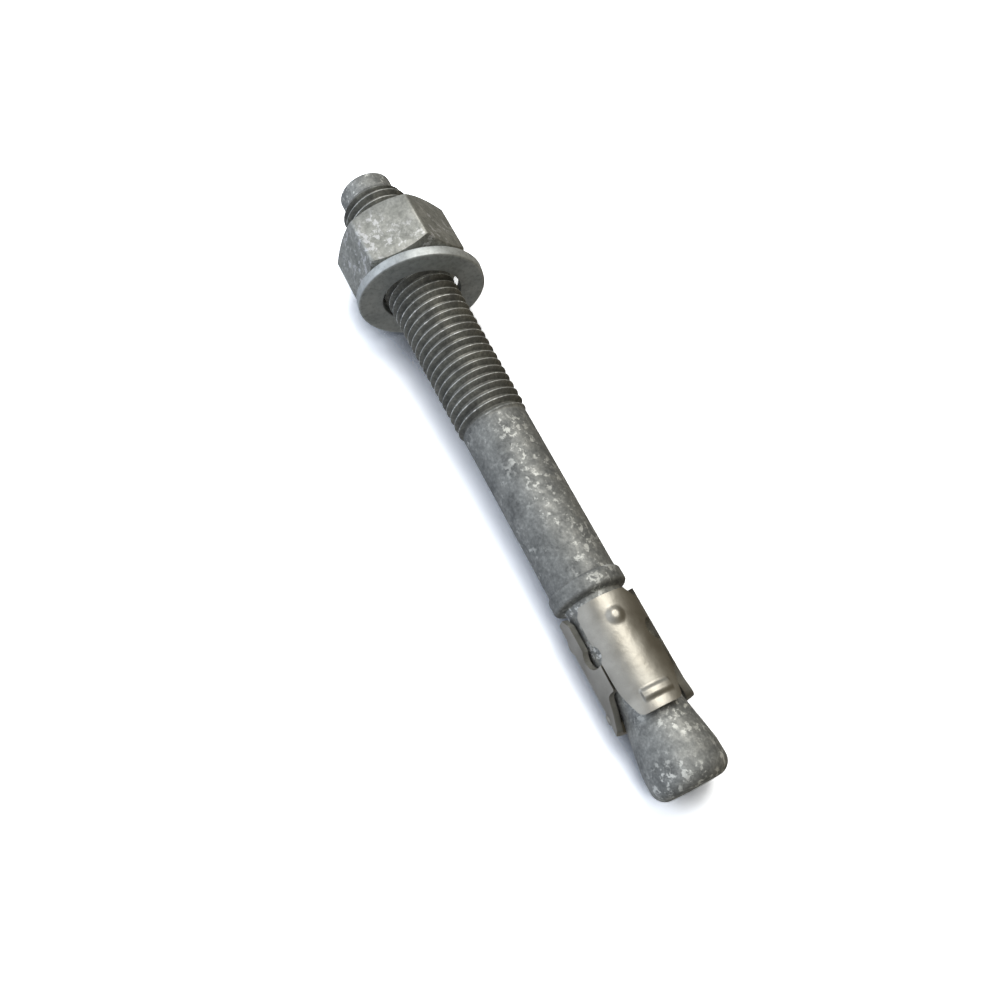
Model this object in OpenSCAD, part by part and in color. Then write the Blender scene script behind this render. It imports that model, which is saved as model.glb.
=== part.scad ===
// Wedge expansion bolt lying on a floor: stud, nut, washer and expansion clip.
// Millimetres. +X runs along the bolt to the threaded end, +Z is up, floor at z = 0.

/* [Stud] */
// Overall length of the stud
stud_length = 154.5; // [120:0.5:200]
// Radius over the thread crests
thread_r = 8; // [6:0.1:10]
// Where the thread starts, from the cone end
thread_start = 86; // [60:0.5:110]
// Length of the plain reduced tip
tip_length = 5; // [2:0.1:8]
// Radius of the plain reduced tip
tip_r = 6.35; // [5:0.05:6.6]
// Radius of the plain shank
shank_r = 7.5; // [6:0.05:7.9]
// Radius of the collar
collar_r = 8.15; // [7.6:0.05:9]
// Collar edge on the cone side
collar_start = 41; // [35:0.1:50]
// Length of the collar
collar_length = 4.6; // [2:0.1:8]
// Radius of the neck under the clip
neck_r = 6.15; // [5:0.05:6.6]
// Where the neck meets the cone
cone_top = 17.5; // [14:0.1:22]
// Largest radius of the cone
cone_r = 8.15; // [7:0.05:9]
// Cone end land, far edge
land_top = 7; // [5:0.1:10]
// Cone end land, near edge
land_low = 3; // [2:0.1:4]

/* [Nut] */
// Width across flats
nut_af = 24; // [20:0.1:30]
// Height of the nut
nut_height = 14.5; // [10:0.1:16]
// Bearing face of the nut, from the cone end
nut_face = 126.6; // [110:0.1:135]
// Radius of the round bearing face left by the chamfer
nut_face_r = 11.4; // [10:0.1:12]
// Radius of the nut bore
nut_bore_r = 8.06; // [8.02:0.01:8.1]
// Roll of the nut about the bolt
nut_roll = 50.2; // [0:0.1:60]

/* [Washer] */
// Outer radius
washer_r = 14.7; // [12:0.05:18]
// Hole radius
washer_hole_r = 9; // [8.6:0.05:10]
// Thickness
washer_t = 2.4; // [2:0.1:4]
// Swing of the loose washer about the vertical
washer_swing = 11.2; // [0:0.1:13]
// Drop of the stud in the washer hole
washer_drop = 0.85; // [0:0.05:0.9]

/* [Clip] */
// Lower edge of the clip, from the cone end
clip_start = 15.3; // [14:0.1:20]
// Length of the clip
clip_length = 24; // [16:0.1:25]
// Inside radius
clip_in_r = 6.8; // [6.2:0.05:7.5]
// Outside radius
clip_out_r = 8.3; // [7.5:0.05:9]
// Roll of the clip about the bolt
clip_roll = 5; // [-60:1:60]
// Turn from the front leaf to the slit on its right
right_turn = 52; // [48:1:62]
// Radius of the round relief holes
relief_r = 2.4; // [1:0.05:3]
// Height of the relief holes above the lower edge
relief_z = 14.5; // [10:0.1:18]
// Width of the slit under a relief hole
slit_w = 0.8; // [0.3:0.1:2]
// Height of the spread between two leaves
spread_z = 6.2; // [3:0.1:9]
// Half width of the spread at the lower edge
spread_w = 3.8; // [2:0.1:5]
// Width of the seam above its relief hole
seam_w = 2.9; // [1:0.1:3]
// Depth of the notches in the top edge
notch_z = 2; // [1:0.1:3]
// Height of the round bump above the lower edge
bump_z = 19.4; // [16:0.1:22]
// Height of the cross ridge above the lower edge
ridge_z = 3.3; // [2:0.1:6]

/* [Hidden] */
$fn = 96;
// Gap between nut and washer where they come closest
lean_gap = 0.65;
// Middle of the washer, from the cone end
washer_mid = nut_face - nut_face_r * tan(washer_swing) - lean_gap - washer_t / 2 / cos(washer_swing);
// Cone side of the lowest rim point
rim_x = washer_mid - washer_t / 2 * cos(washer_swing);
rim_z = washer_drop - washer_r;
// The bolt rests on the washer rim and the near edge of the cone land
slope = atan((-rim_z - cone_r) / (rim_x - land_low));
lift = cone_r * cos(slope) - land_low * sin(slope);
round_r = 3;
x_low = -(cone_r - round_r) * sin(slope);
x_high = stud_length * cos(slope) + (tip_r - 0.8) * sin(slope);
x_mid = (x_low + x_high) / 2;

// Bolt line (Z of the piece) laid into the resting pose
module lay() {
    translate([-x_mid, 0, lift]) rotate([0, -slope, 0]) rotate([0, 90, 0]) children();
}

module anchor_stud() {
    color([0.60, 0.62, 0.62]) lay() rotate_extrude() polygon(concat(
        [[0, 0]],
        [for (a = [0:10:90]) [cone_r - round_r + round_r * sin(a), round_r - round_r * cos(a)]],
        [[cone_r, land_top], [neck_r + 0.15, cone_top - 0.6], [neck_r, cone_top + 0.6],
         [neck_r, collar_start - 0.2], [neck_r + 0.5, collar_start],
         [collar_r - 0.7, collar_start + 0.15]],
        [for (a = [15:15:90]) [collar_r - 0.9 + 0.9 * sin(a), collar_start + 1.1 - 0.9 * cos(a)]],
        [for (a = [0:15:75]) [collar_r - 0.9 + 0.9 * cos(a), collar_start + collar_length - 1.5 + 0.9 * sin(a)]],
        [[shank_r, collar_start + collar_length], [shank_r, thread_start - 1.2],
         [thread_r, thread_start], [thread_r, stud_length - tip_length - 1],
         [tip_r, stud_length - tip_length + 0.6], [tip_r, stud_length - 0.8]],
        [for (a = [30:30:90]) [tip_r - 0.8 + 0.8 * cos(a), stud_length - 0.8 + 0.8 * sin(a)]],
        [[0, stud_length]]));
}

module hex_nut() {
    edge = nut_af / 2 / cos(30);
    drop = (edge - nut_face_r) * tan(30);
    mouth = nut_bore_r + 0.6;
    color([0.66, 0.67, 0.66]) lay() translate([0, 0, nut_face]) difference() {
        intersection() {
            rotate([0, 0, 30 + nut_roll]) cylinder(r = edge, h = nut_height, $fn = 6);
            rotate_extrude() polygon([[0, 0], [nut_face_r, 0], [edge + 0.01, drop],
                [edge + 0.01, nut_height - drop], [nut_face_r, nut_height], [0, nut_height]]);
        }
        translate([0, 0, -1]) cylinder(r = nut_bore_r, h = nut_height + 2);
        translate([0, 0, -0.01]) cylinder(r1 = mouth, r2 = nut_bore_r, h = 0.6);
        translate([0, 0, nut_height - 0.59]) cylinder(r1 = nut_bore_r, r2 = mouth, h = 0.6);
    }
}

module washer() {
    b = 0.25;
    color([0.50, 0.52, 0.52]) lay() translate([-washer_drop, 0, washer_mid]) rotate([washer_swing, 0, 0])
        rotate_extrude() polygon([[washer_hole_r, -washer_t / 2], [washer_r - b, -washer_t / 2],
            [washer_r, b - washer_t / 2], [washer_r, washer_t / 2 - b],
            [washer_r - b, washer_t / 2], [washer_hole_r, washer_t / 2]]);
}

// Opening between two leaves, cut outwards along the radius
module leaf_gap(open_seam) {
    rotate([0, 90, 0]) {
        translate([-relief_z, 0, 0]) cylinder(r = relief_r, h = 12);
        translate([-relief_z, -slit_w / 2, 0]) cube([relief_z + 1, slit_w, 12]);
        linear_extrude(12) polygon([[-spread_z, -slit_w / 2], [-2.2, -spread_w + 0.9], [-1, -spread_w + 0.5],
            [-0.3, -spread_w - 0.1], [0.1, -spread_w - 0.8], [0.1, spread_w + 0.8], [-0.3, spread_w + 0.1],
            [-1, spread_w - 0.5], [-2.2, spread_w - 0.9], [-spread_z, slit_w / 2]]);
        linear_extrude(12) polygon([[-clip_length - 0.1, -2.4], [-clip_length - 0.1, 2.4],
            [-clip_length + notch_z * 0.7, 1.2], [-clip_length + notch_z, 0.5],
            [-clip_length + notch_z, -0.5], [-clip_length + notch_z * 0.7, -1.2]]);
        if (open_seam) translate([-clip_length - 1, -seam_w / 2, 0])
            cube([clip_length + 1 - relief_z, seam_w, 12]);
    }
}

module expansion_clip() {
    color([0.74, 0.72, 0.68]) lay() translate([0, 0, clip_start]) rotate([0, 0, 180 + clip_roll]) {
        difference() {
            cylinder(r = clip_out_r, h = clip_length);
            translate([0, 0, -1]) cylinder(r = clip_in_r, h = clip_length + 2);
            rotate([0, 0, -60]) leaf_gap(true);
            rotate([0, 0, right_turn]) leaf_gap(false);
            rotate([0, 0, 180]) leaf_gap(false);
        }
        for (a = [0, 90 + right_turn / 2, 240]) rotate([0, 0, a]) {
            difference() {
                translate([clip_out_r - 3.0, 0, bump_z]) sphere(r = 3.45);
                translate([0, 0, bump_z - 5]) cylinder(r = clip_out_r - 0.6, h = 10);
            }
            rotate([0, 0, -22]) rotate_extrude(angle = 44) translate([clip_out_r - 0.7, ridge_z]) circle(r = 1.2);
        }
    }
}

anchor_stud();
hex_nut();
washer();
expansion_clip();
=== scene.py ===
import bpy, bmesh, math
from mathutils import Matrix, Vector


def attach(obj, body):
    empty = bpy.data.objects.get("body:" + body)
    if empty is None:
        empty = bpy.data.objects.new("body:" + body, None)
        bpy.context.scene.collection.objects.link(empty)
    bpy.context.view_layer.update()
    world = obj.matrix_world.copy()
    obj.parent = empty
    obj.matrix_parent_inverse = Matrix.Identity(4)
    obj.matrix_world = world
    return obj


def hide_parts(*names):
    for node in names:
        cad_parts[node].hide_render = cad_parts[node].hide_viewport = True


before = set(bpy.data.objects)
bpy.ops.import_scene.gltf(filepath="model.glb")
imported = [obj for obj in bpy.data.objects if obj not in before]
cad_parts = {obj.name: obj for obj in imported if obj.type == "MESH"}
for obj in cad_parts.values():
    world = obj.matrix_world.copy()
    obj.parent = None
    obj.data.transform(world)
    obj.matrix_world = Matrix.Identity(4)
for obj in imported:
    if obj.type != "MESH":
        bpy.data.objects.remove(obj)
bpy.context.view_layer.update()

# ---------------------------------------------------------------- sizes, in millimetres
STUD_L, THREAD_R, THREAD_0, TIP_L, TIP_R = 154.5, 7.97, 86.0, 5.0, 6.33
SHANK_R, COLLAR_R, COLLAR_0, COLLAR_L = 7.48, 8.13, 41.0, 4.6
NECK_R, CONE_TOP, CONE_R, LAND_TOP = 6.13, 17.5, 8.14, 7.0
PITCH, DEPTH = 2.0, 1.2
NUT_AF, NUT_H, NUT_0, NUT_FACE_R, NUT_BORE, NUT_ROLL = 24.0, 14.5, 126.6, 11.4, 8.06, 50.2
W_R, W_HOLE, W_T, W_SWING, W_DROP = 14.69, 9.0, 2.4, 11.2, 0.85
C_0, C_L, C_IN, C_OUT, C_ROLL = 15.3, 24.0, 6.8, 8.3, 5.0
C_RIGHT = 52.0
tan, cos, sin, pi = math.tan, math.cos, math.sin, math.pi
rad = math.radians
W_MID = NUT_0 - NUT_FACE_R * tan(rad(W_SWING)) - 0.65 - W_T / 2 / cos(rad(W_SWING))
RIM_X, RIM_Z = W_MID - W_T / 2 * cos(rad(W_SWING)), W_DROP - 14.7
SLOPE = math.atan((-RIM_Z - 8.15) / (RIM_X - 3.0))
LIFT = 8.15 * cos(SLOPE) - 3.0 * sin(SLOPE)
X_MID = (-(8.15 - 3) * sin(SLOPE) + STUD_L * cos(SLOPE) + (6.35 - 0.8) * sin(SLOPE)) / 2
LAY = (Matrix.Scale(0.001, 4) @ Matrix.Translation((-X_MID, 0, LIFT))
       @ Matrix.Rotation(-SLOPE, 4, "Y") @ Matrix.Rotation(pi / 2, 4, "Y"))


def smooth(e0, e1, x):
    t = min(1.0, max(0.0, (x - e0) / (e1 - e0)))
    return t * t * (3 - 2 * t)


def finish_mesh(name, verts, faces, place, material, attr=None, angle=35):
    me = bpy.data.meshes.new(name)
    me.from_pydata(verts, [], faces)
    if attr is not None:
        a = me.attributes.new("fleck_and_painted_light", "FLOAT", "POINT")
        a.data.foreach_set("value", attr)
    bm = bmesh.new()
    bm.from_mesh(me)
    bmesh.ops.remove_doubles(bm, verts=bm.verts, dist=1e-5)
    bmesh.ops.dissolve_degenerate(bm, edges=bm.edges, dist=1e-6)
    bmesh.ops.recalc_face_normals(bm, faces=bm.faces)
    bm.to_mesh(me)
    bm.free()
    me.transform(place)
    for p in me.polygons:
        p.use_smooth = True
    me.set_sharp_from_angle(angle=rad(angle))
    ob = bpy.data.objects.new(name, me)
    bpy.context.scene.collection.objects.link(ob)
    me.materials.append(material)
    return ob


def rings(rows, cols, closed=False):
    """Quads between successive rings of points; closed joins last ring to first."""
    f = []
    n = len(rows)
    for i in range(n if closed else n - 1):
        k = (i + 1) % n
        for j in range(cols):
            m = (j + 1) % cols
            f.append((i * cols + j, i * cols + m, k * cols + m, k * cols + j))
    return f


# ---------------------------------------------------------------- materials
def nodes_of(name):
    m = bpy.data.materials.new(name)
    m.use_nodes = True
    nt = m.node_tree
    return m, nt, nt.nodes, nt.links, nt.nodes["Principled BSDF"]


def ramp(nt, stops):
    r = nt.nodes.new("ShaderNodeValToRGB")
    el = r.color_ramp.elements
    while len(el) < len(stops):
        el.new(0.5)
    for e, (p, c) in zip(el, stops):
        e.position = p
        e.color = c if len(c) == 4 else (*c, 1)
    return r


def noise(nt, co, scale, detail=4.0, rough=0.55, dist=0.0):
    n = nt.nodes.new("ShaderNodeTexNoise")
    n.inputs["Scale"].default_value = scale
    n.inputs["Detail"].default_value = detail
    n.inputs["Roughness"].default_value = rough
    n.inputs["Distortion"].default_value = dist
    nt.links.new(co, n.inputs["Vector"])
    return n.outputs["Fac"]


def mix(nt, fac, a, b, kind="MIX"):
    m = nt.nodes.new("ShaderNodeMix")
    m.data_type = "RGBA"
    m.blend_type = kind
    for sock, v in ((m.inputs["Factor"], fac), (m.inputs[6], a), (m.inputs[7], b)):
        if isinstance(v, (int, float)):
            sock.default_value = v
        elif isinstance(v, tuple):
            sock.default_value = (*v, 1) if len(v) == 3 else v
        else:
            nt.links.new(v, sock)
    return m.outputs[2]


def zinc(name, dark, mid, light, metallic, rough, spangle=1.0, scale=1.0, fleck_and_painted_light=False, bump=0.12):
    m, nt, N, L, b = nodes_of(name)
    co = N.new("ShaderNodeTexCoord").outputs["Object"]
    big = noise(nt, co, 260 * scale, 5, 0.6, 0.6)
    fine = noise(nt, co, 1500 * scale, 5, 0.65)
    r1 = ramp(nt, [(0.32, dark), (0.50, mid), (0.70, light)])
    L.new(big, r1.inputs[0])
    r2 = ramp(nt, [(0.36, (0.80,) * 3), (0.52, (1.0,) * 3), (0.70, (1.0 + 0.4 * spangle,) * 3)])
    L.new(fine, r2.inputs[0])
    col = mix(nt, 1.0, r1.outputs[0], r2.outputs[0], "MULTIPLY")
    where = ramp(nt, [(0.46, (0.0,) * 3), (0.60, (1.0,) * 3)])
    patch = noise(nt, co, 95 * scale, 3, 0.6, 0.4)
    if fleck_and_painted_light:
        at = N.new("ShaderNodeAttribute")
        at.attribute_name = "fleck_and_painted_light"
        # more flecks where the value is high: most on the painted highlight strip of the shank, a few on the cone,
        # neck, crests and washer rim
        more = ramp(nt, [(0.87, (0.0,) * 3), (0.90, (0.15,) * 3), (0.915, (0.05,) * 3), (0.96, (0.05,) * 3)])
        L.new(at.outputs["Fac"], more.inputs[0])
        total = N.new("ShaderNodeMath")
        L.new(patch, total.inputs[0])
        L.new(more.outputs[0], total.inputs[1])
        patch = total.outputs["Value"]
    L.new(patch, where.inputs[0])
    fleck = ramp(nt, [(0.53, (0.0,) * 3), (0.60, (1.0,) * 3)])
    L.new(noise(nt, co, 640 * scale, 6, 0.66, 0.2), fleck.inputs[0])
    spots = mix(nt, 1.0, where.outputs[0], fleck.outputs[0], "MULTIPLY")
    if fleck_and_painted_light:
        # the cut thread carries no flecks
        plain = ramp(nt, [(0.80, (0.0,) * 3), (0.865, (1.0,) * 3)])
        L.new(at.outputs["Fac"], plain.inputs[0])
        spots = mix(nt, 1.0, spots, plain.outputs[0], "MULTIPLY")
    amount = mix(nt, 1.0, spots, (min(1.0, 1.1 * spangle),) * 3, "MULTIPLY")
    col = mix(nt, amount, col, tuple(min(1.0, 1.9 * c) for c in light))
    if fleck_and_painted_light:
        # painted shade and highlight: darkens the thread roots and brightens the thread crests, the highlight strip,
        # the neck, cone, tip and washer rim
        painted_shade_and_highlight = ramp(nt, [(0.0, (0.76, 0.75, 0.71)), (0.78, (1.08, 1.06, 1.02)), (0.86, (1.0,) * 3), (0.91, (1.06,) * 3), (0.97, (1.8,) * 3)])
        L.new(at.outputs["Fac"], painted_shade_and_highlight.inputs[0])
        col = mix(nt, 1.0, col, painted_shade_and_highlight.outputs[0], "MULTIPLY")
    L.new(col, b.inputs["Base Color"])
    b.inputs["Metallic"].default_value = metallic
    rr = ramp(nt, [(0.3, (rough + 0.10,) * 3), (0.7, (rough - 0.10,) * 3)])
    L.new(big, rr.inputs[0])
    L.new(rr.outputs[0], b.inputs["Roughness"])
    bp = N.new("ShaderNodeBump")
    bp.inputs["Strength"].default_value = bump
    bp.inputs["Distance"].default_value = 0.0003
    L.new(fine, bp.inputs["Height"])
    L.new(bp.outputs["Normal"], b.inputs["Normal"])
    return m


MAT_STUD = zinc("zinc_stud", (0.230, 0.236, 0.230), (0.325, 0.332, 0.318), (0.42, 0.424, 0.40), 0.58, 0.60, 0.9, fleck_and_painted_light=True)
MAT_NUT = zinc("zinc_nut", (0.345, 0.35, 0.32), (0.47, 0.475, 0.435), (0.615, 0.615, 0.565), 0.65, 0.48, 0.6, 0.9)
MAT_WASHER = zinc("zinc_washer", (0.46, 0.485, 0.475), (0.54, 0.565, 0.555), (0.63, 0.65, 0.635), 0.65, 0.46, 0.15, 0.6, fleck_and_painted_light=True, bump=0.05)


def stainless():
    m, nt, N, L, b = nodes_of("stainless_clip")
    co = N.new("ShaderNodeTexCoord").outputs["Object"]
    a = noise(nt, co, 220, 4, 0.5)
    r = ramp(nt, [(0.3, (0.45, 0.425, 0.365)), (0.7, (0.625, 0.60, 0.53))])
    L.new(a, r.inputs[0])
    L.new(r.outputs[0], b.inputs["Base Color"])
    b.inputs["Metallic"].default_value = 0.95
    f = noise(nt, co, 420, 5, 0.6)
    rr = ramp(nt, [(0.3, (0.36,) * 3), (0.7, (0.46,) * 3)])
    L.new(a, rr.inputs[0])
    L.new(rr.outputs[0], b.inputs["Roughness"])
    bp = N.new("ShaderNodeBump")
    bp.inputs["Strength"].default_value = 0.14
    bp.inputs["Distance"].default_value = 0.0006
    L.new(f, bp.inputs["Height"])
    L.new(bp.outputs["Normal"], b.inputs["Normal"])
    return m


MAT_CLIP = stainless()

# ---------------------------------------------------------------- stud with its cut thread
COLS = 96


def thread_r(phase):
    """Radius over one pitch, crest at phase 0."""
    p = abs((phase + 0.5) % 1.0 - 0.5) * PITCH
    if p < 0.10:
        return THREAD_R - 0.03 * (p / 0.10) ** 2
    if p < 0.76:
        return THREAD_R - 0.03 - (DEPTH - 0.06) * (p - 0.10) / 0.66
    return THREAD_R - DEPTH + 0.03 * ((1.0 - p) / 0.24) ** 2


def lower_profile():
    """(radius, height) of the stud from the cone end to the thread."""
    pts = [(0.0, 0.0)]
    rr = 3.0
    for k in range(13):
        a = rad(90 * k / 12)
        pts.append((CONE_R - rr + rr * sin(a), rr - rr * cos(a) + 0.005))
    for k in range(1, 17):
        t = k / 16
        z = 3.0 + t * (CONE_TOP + 2.5 - 3.0)
        u = smooth(LAND_TOP - 4.5, CONE_TOP + 2.0, z)
        s = (1 - u) * 1.0 + u * 0.0
        lin = 1 - min(1, max(0, (z - LAND_TOP + 0.6) / (CONE_TOP - LAND_TOP + 0.6)))
        pts.append((NECK_R + (CONE_R - NECK_R) * (0.35 * s + 0.65 * lin), z))
    pts += [(NECK_R, CONE_TOP + 3.5), (NECK_R, 30.0), (NECK_R, COLLAR_0 - 0.5), (NECK_R + 0.12, COLLAR_0 - 0.15),
            (NECK_R + 0.5, COLLAR_0 + 0.02), (COLLAR_R - 0.9, COLLAR_0 + 0.2)]
    for k in range(1, 8):
        a = rad(90 * k / 7)
        pts.append((COLLAR_R - 0.9 + 0.9 * sin(a), COLLAR_0 + 1.1 - 0.9 * cos(a)))
    for k in range(0, 6):
        a = rad(75 * k / 5)
        pts.append((COLLAR_R - 0.9 + 0.9 * cos(a), COLLAR_0 + COLLAR_L - 1.5 + 0.9 * sin(a)))
    pts += [(SHANK_R + 0.05, COLLAR_0 + COLLAR_L - 0.1), (SHANK_R, COLLAR_0 + COLLAR_L + 0.4)]
    z = COLLAR_0 + COLLAR_L + 3
    while z < THREAD_0 - 2.2:
        pts.append((SHANK_R, z))
        z += 4.0
    pts.append((SHANK_R, THREAD_0 - 2.0))
    return pts


def build_stud():
    verts, fleck_and_painted_light, rows = [], [], 0

    def ring(r, z, w=0.87):
        for j in range(COLS):
            a = 2 * pi * j / COLS
            verts.append((r * cos(a), r * sin(a), z))
            # painted highlight: a brighter value on the strip along the side that faces the light
            fleck_and_painted_light.append(w + 0.03 * smooth(42, 8, abs(math.degrees(a) - 190)) if COLLAR_0 < z < THREAD_0 else w)

    for r, z in lower_profile():
        # painted light: the neck between collar and clip gets a higher value that lifts its shade; the cone also gets a
        # brighter value with more flecks
        ring(r, z, 0.922 if z < CONE_TOP - 1 else 0.94 if z < COLLAR_0 else 0.87)
        rows += 1
    z0, z1 = THREAD_0 - 2.0, STUD_L - TIP_L + 0.6
    per = 10
    marks = [0.0, 0.045, 0.10, 0.20, 0.30, 0.40, 0.50, 0.60, 0.70, 0.80, 0.90, 0.955]
    turns = int((z1 - z0) / PITCH) + 2
    for t in range(-1, turns):
        for ph in marks:
            for j in range(COLS):
                a = 2 * pi * j / COLS
                z = z0 + (t + ph + j / COLS) * PITCH
                raw = thread_r(ph)
                depth = (THREAD_R - raw) / DEPTH
                if z <= z0:
                    z, r, w = z0, SHANK_R, 0.87
                elif z >= z1:
                    z, r, w = z1, TIP_R, 0.87
                else:
                    up = smooth(z0, z0 + 2.6, z)
                    r = SHANK_R + up * (raw - SHANK_R)
                    top = STUD_L - TIP_L - 1.2
                    lim = THREAD_R - max(0.0, z - top) * (THREAD_R - TIP_R) / (z1 - top)
                    r = min(r, lim)
                    # painted highlight and shade: crests get value 1 and roots 0, which the material turns into bright
                    # crests and dark roots
                    crest = 1.0 if ph in (0.0, 0.045, 0.955) else max(0.0, 0.80 * (1 - depth))
                    w = 0.87 * (1 - up) + crest * up
                    if r == lim and z > top:
                        w = min(w, 0.9)
                verts.append((r * cos(a), r * sin(a), z))
                fleck_and_painted_light.append(w)
            rows += 1
    for r, z in [(TIP_R, STUD_L - TIP_L + 0.8), (TIP_R, STUD_L - 2.5), (TIP_R, STUD_L - 0.9)]:
        ring(r, z, 0.92)
        rows += 1
    for k in range(1, 6):
        a = rad(90 * k / 5)
        ring(TIP_R - 0.8 + 0.8 * cos(a), STUD_L - 0.85 + 0.8 * sin(a), 0.92)
        rows += 1
    ring(0.0, STUD_L - 0.05)
    rows += 1
    return finish_mesh("stud_visual", verts, rings(range(rows), COLS), LAY, MAT_STUD, fleck_and_painted_light, 40)


stud = build_stud()
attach(stud, "stud")
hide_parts("anchor_stud")


# ---------------------------------------------------------------- nut
def build_nut():
    cols, rows, verts = 240, 0, []
    p = 90.0

    def hexr(a):
        s = sum((max(0.0, cos(a - rad(60 * k))) / (NUT_AF / 2 - 0.01)) ** p for k in range(6))
        return s ** (-1 / p)

    prof = []
    for j in range(cols):
        a = 2 * pi * j / cols
        R = hexr(a - rad(NUT_ROLL))
        h = (R - NUT_FACE_R) * tan(rad(30))
        q = min(0.12, h * 0.4)
        pts = [(NUT_BORE, 0.62), (NUT_BORE + 0.6, 0.02), (NUT_FACE_R - 0.25, 0.01), (NUT_FACE_R - 0.05, 0.03), (NUT_FACE_R + 0.15, 0.11)]
        pts += [(R - 1.73 * q, h - q), (R - 0.35 * q, h - 0.1 * q), (R, h + q)]
        pts += [(R, h + q + (NUT_H - 2 * h - 2 * q) * k / 4) for k in (1, 2, 3)]
        pts += [(r, NUT_H - z) for r, z in reversed(pts[:8])]
        prof.append((a, pts))
    n = len(prof[0][1])
    for i in range(n):
        for a, pts in prof:
            verts.append((pts[i][0] * cos(a), pts[i][0] * sin(a), pts[i][1] + NUT_0))
    return finish_mesh("nut_visual", verts, rings(range(n), cols, True), LAY, MAT_NUT, None, 32)


nut = build_nut()
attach(nut, "nut")
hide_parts("hex_nut")


# ---------------------------------------------------------------- washer
def build_washer():
    cols, verts = 160, []
    h, b = W_T / 2, 0.30
    prof = [(W_HOLE + 0.15, -h), (W_R - 1.2, -h)]
    prof += [(W_R - b + b * sin(rad(18 * k)), -h + b - b * cos(rad(18 * k))) for k in range(6)]
    prof += [(W_R, 0.0)]
    prof += [(W_R - b + b * cos(rad(18 * k)), h - b + b * sin(rad(18 * k))) for k in range(6)]
    prof += [(W_R - 1.2, h), (W_HOLE + 0.15, h), (W_HOLE, h - 0.15), (W_HOLE, -h + 0.15)]
    fleck_and_painted_light = [0.93 if r > W_R - 0.5 else 0.87 for r, z in prof for j in range(cols)]
    for r, z in prof:
        for j in range(cols):
            a = 2 * pi * j / cols
            verts.append((r * cos(a), r * sin(a), z))
    place = LAY @ Matrix.Translation((-W_DROP, 0, W_MID)) @ Matrix.Rotation(rad(W_SWING), 4, "X")
    return finish_mesh("washer_visual", verts, rings(range(len(prof)), cols, True), place, MAT_WASHER, fleck_and_painted_light, 35)


washer = build_washer()
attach(washer, "washer")
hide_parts("washer")


# ---------------------------------------------------------------- clip
def prism(points, r0, r1, turn):
    """A cutter: outline (along, height) pushed outwards along the radius from r0 to r1."""
    n = len(points)
    v = [(r0, y, z) for y, z in points] + [(r1, y, z) for y, z in points]
    f = [tuple(range(n))[::-1], tuple(range(n, 2 * n))] + [(i, (i + 1) % n, n + (i + 1) % n, n + i) for i in range(n)]
    c, s = cos(turn), sin(turn)
    return [(x * c - y * s, x * s + y * c, z) for x, y, z in v], f


def gap_outline(seam):
    """Outlines (along, height) of the opening between two leaves; the seam is open to the top and its halves differ."""
    lo = [(5.2, -0.5), (4.35, 0.0), (3.95, 0.16), (3.55, 0.50), (3.25, 1.0), (3.0, 1.7)]

    def arc(first, last, n):
        turn = [rad(first + (last - first) * k / n) for k in range(n + 1)]
        return [(2.4 * cos(t), 14.5 + 2.4 * sin(t)) for t in turn]

    hole = arc(-80, 80, 14)
    if seam:
        right = lo + [(2.55, 2.9), (2.1, 4.2), (1.75, 5.6), (1.58, 7.0), (1.5, 9.0), (1.46, 12.3)]
        left = lo + [(2.45, 3.0), (1.85, 4.6), (1.35, 5.9), (0.95, 6.45), (0.3, 6.72), (-0.75, 6.85), (-0.98, 7.1), (-1.02, 12.3)]
        top = [(1.45, 16.6), (1.45, 22.0), (1.6, 22.5), (2.1, 23.1), (2.7, 24.0), (2.9, 24.6)]
        left = left + arc(-112, 50, 14) + top
        right = right + arc(-50, 50, 9) + top
        return [right + [(-y, z) for y, z in reversed(left)]]
    half = lo + [(2.4, 3.2), (1.75, 4.6), (1.25, 5.6), (0.75, 6.2), (0.32, 6.6), (0.28, 12.1)] + hole
    top = [(0.35, 22.0), (0.9, 22.25), (1.4, 22.7), (2.0, 23.25), (2.7, 24.0), (2.9, 24.6)]
    return [h + [(-y, z) for y, z in reversed(h)] for h in (half, top)]


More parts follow.
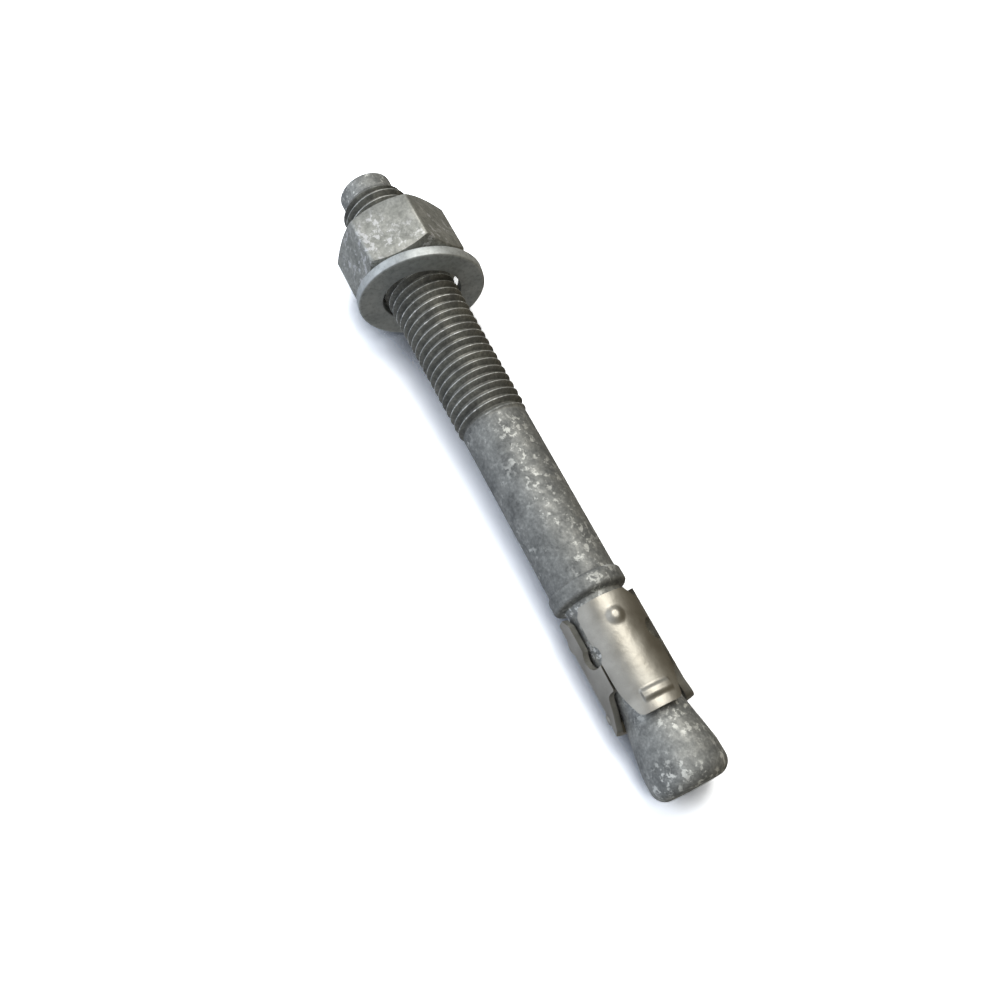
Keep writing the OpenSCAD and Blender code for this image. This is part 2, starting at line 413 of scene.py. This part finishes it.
def build_clip():
    cols, levels = 264, 72
    verts = []
    for r in (C_OUT, C_IN):
        for i in range(levels + 1):
            for j in range(cols):
                a = 2 * pi * (j + 0.5) / cols
                verts.append((r * cos(a), r * sin(a), C_L * i / levels))
    f = []
    n = (levels + 1) * cols
    for i in range(levels):
        for j in range(cols):
            m = (j + 1) % cols
            f.append((i * cols + j, i * cols + m, (i + 1) * cols + m, (i + 1) * cols + j))
            f.append((n + i * cols + j, n + (i + 1) * cols + j, n + (i + 1) * cols + m, n + i * cols + m))
    for j in range(cols):
        m = (j + 1) % cols
        f.append((j, n + j, n + m, m))
        t = levels * cols
        f.append((t + j, t + m, n + t + m, n + t + j))
    me = bpy.data.meshes.new("clip_visual")
    me.from_pydata(verts, [], f)
    me.update()
    ob = bpy.data.objects.new("clip_visual", me)
    bpy.context.scene.collection.objects.link(ob)
    cv, cf = [], []
    for turn, seam in ((-60, True), (C_RIGHT, False), (180, False)):
        for outline in gap_outline(seam):
            v, fs = prism(outline, 3.0, 11.0, rad(turn))
            k = len(cv)
            cv += v
            cf += [tuple(i + k for i in x) for x in fs]
    cm = bpy.data.meshes.new("clip_cut")
    cm.from_pydata(cv, [], cf)
    b = bmesh.new()
    b.from_mesh(cm)
    bmesh.ops.recalc_face_normals(b, faces=b.faces)
    b.to_mesh(cm)
    b.free()
    cutter = bpy.data.objects.new("clip_cut", cm)
    bpy.context.scene.collection.objects.link(cutter)
    mod = ob.modifiers.new("cut", "BOOLEAN")
    mod.operation, mod.object, mod.solver = "DIFFERENCE", cutter, "EXACT"
    bev = ob.modifiers.new("edge", "BEVEL")
    bev.width, bev.segments, bev.limit_method, bev.angle_limit = 0.16, 2, "ANGLE", rad(40)
    bev.use_clamp_overlap = True
    dg = bpy.context.evaluated_depsgraph_get()
    new = bpy.data.meshes.new_from_object(ob.evaluated_get(dg))
    ob.modifiers.clear()
    ob.data = new
    bpy.data.objects.remove(cutter, do_unlink=True)
    bpy.data.meshes.remove(cm)
    bpy.data.meshes.remove(me)
    new.name = "clip_visual"
    b = bmesh.new()
    b.from_mesh(new)
    bmesh.ops.remove_doubles(b, verts=b.verts, dist=0.004)
    bmesh.ops.triangulate(b, faces=[f for f in b.faces if len(f.verts) > 4])
    bmesh.ops.dissolve_degenerate(b, edges=b.edges, dist=0.002)
    b.to_mesh(new)
    b.free()
    for v in new.vertices:
        x, y, z = v.co
        r, a = math.hypot(x, y), math.atan2(y, x)
        leaf = min(((a - rad(c) + pi) % (2 * pi) - pi for c in (0.0, 90 + C_RIGHT / 2, 240.0)), key=abs)
        s = leaf * C_OUT
        d = math.hypot(s, z - 19.4)
        push = 0.50 * smooth(2.15, 0.5, d)
        along = smooth(3.35, 2.85, abs(s))
        push += 0.52 * along * smooth(1.35, 0.55, abs(z - 3.3))
        push += 0.36 * smooth(4.0, 0.0, z)
        r += push
        v.co = (r * cos(a), r * sin(a), z)
    new.transform(LAY @ Matrix.Translation((0, 0, C_0)) @ Matrix.Rotation(rad(180 + C_ROLL), 4, "Z"))
    for p in new.polygons:
        p.use_smooth = True
    new.set_sharp_from_angle(angle=rad(38))
    new.materials.clear()
    new.materials.append(MAT_CLIP)
    return ob


clip = build_clip()
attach(clip, "clip")
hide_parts("expansion_clip")

# ---------------------------------------------------------------- floor, light, camera
fm, fnt, FN, FL, fb = nodes_of("floor")
# painted contact shadow: the floor colour is darkened by a ramp on ambient occlusion next to the parts
near = FN.new("ShaderNodeAmbientOcclusion")
near.samples = 12
near.inputs["Distance"].default_value = 0.04
painted_contact_shadow = ramp(fnt, [(0.30, (0.05, 0.052, 0.057)), (0.50, (0.34, 0.35, 0.37)), (0.56, (0.62, 0.63, 0.64)), (0.61, (0.90,) * 3), (0.67, (1.0,) * 3)])
FL.new(near.outputs["AO"], painted_contact_shadow.inputs[0])
FL.new(mix(fnt, 1.0, painted_contact_shadow.outputs[0], (3.1, 3.14, 3.22), "MULTIPLY"), fb.inputs["Base Color"])
fb.inputs["Roughness"].default_value = 1.0
fb.inputs["Specular IOR Level"].default_value = 0.0
fme = bpy.data.meshes.new("floor")
S = 30.0
fme.from_pydata([(-S, -S, 0), (S, -S, 0), (S, S, 0), (-S, S, 0)], [], [(0, 1, 2, 3)])
fme.materials.append(fm)
floor = bpy.data.objects.new("floor", fme)
bpy.context.scene.collection.objects.link(floor)

RIGHT, UP, BACK = Vector((-0.449113, -0.893475, 0.0)), Vector((0.807497, -0.405895, 0.428016)), Vector((-0.382421, 0.192227, 0.903771))
cam_data = bpy.data.cameras.new("camera")
cam_data.sensor_width = 36.0
cam_data.lens = 36.0 * 1.05
cam_data.clip_start = 0.01
cam = bpy.data.objects.new("camera", cam_data)
M = Matrix((RIGHT, UP, BACK)).transposed().to_4x4()
M.translation = Vector((-0.092497, 0.049083, 0.210073))
cam.matrix_world = M
bpy.context.scene.collection.objects.link(cam)
bpy.context.scene.camera = cam


def area(name, at, aim, size, power, color):
    d = bpy.data.lights.new(name, "AREA")
    d.shape, d.size, d.size_y, d.energy, d.color = "RECTANGLE", size[0], size[1], power, color
    o = bpy.data.objects.new(name, d)
    o.location = at
    o.rotation_euler = (Vector(aim) - Vector(at)).to_track_quat("-Z", "Y").to_euler()
    bpy.context.scene.collection.objects.link(o)
    return o


# Directions seen in the picture, along the floor
flat_right = Vector((RIGHT.x, RIGHT.y, 0)).normalized()
flat_away = Vector((UP.x, UP.y, 0)).normalized()


def at(right, away, up):
    return tuple(flat_right * right + flat_away * away + Vector((0, 0, up)))


area("key", at(0.10, 0.30, 0.74), (0, 0, 0), (0.45, 0.45), 2.6, (1.0, 0.985, 0.95))
area("left", at(-0.7, 0.1, 0.45), (0, 0, 0), (0.6, 0.6), 0.85, (0.84, 0.91, 1.0))
floor.visible_glossy = False
floor.visible_diffuse = False
world = bpy.data.worlds.new("world")
bpy.context.scene.world = world
world.use_nodes = True
wt = world.node_tree
bg = wt.nodes["Background"]
co = wt.nodes.new("ShaderNodeTexCoord").outputs["Generated"]


def along(direction):
    d = wt.nodes.new("ShaderNodeVectorMath")
    d.operation = "DOT_PRODUCT"
    wt.links.new(co, d.inputs[0])
    d.inputs[1].default_value = direction
    m = wt.nodes.new("ShaderNodeMapRange")
    wt.links.new(d.outputs["Value"], m.inputs["Value"])
    m.inputs["From Min"].default_value = -1.0
    return m.outputs["Result"]


side = ramp(wt, [(0.15, (0.27, 0.29, 0.33)), (0.50, (0.17, 0.172, 0.17)), (0.85, (0.076, 0.066, 0.047))])
wt.links.new(along(flat_right), side.inputs[0])
high = ramp(wt, [(0.30, (0.75,) * 3), (0.60, (0.9,) * 3), (0.95, (1.15,) * 3)])
wt.links.new(along(Vector((0, 0, 1))), high.inputs[0])
wt.links.new(mix(wt, 1.0, side.outputs[0], high.outputs[0], "MULTIPLY"), bg.inputs["Color"])
bg.inputs["Strength"].default_value = 1.75
sc = bpy.context.scene
sc.view_settings.view_transform = "Standard"
sc.view_settings.look = "None"
sc.view_settings.exposure = 0.0
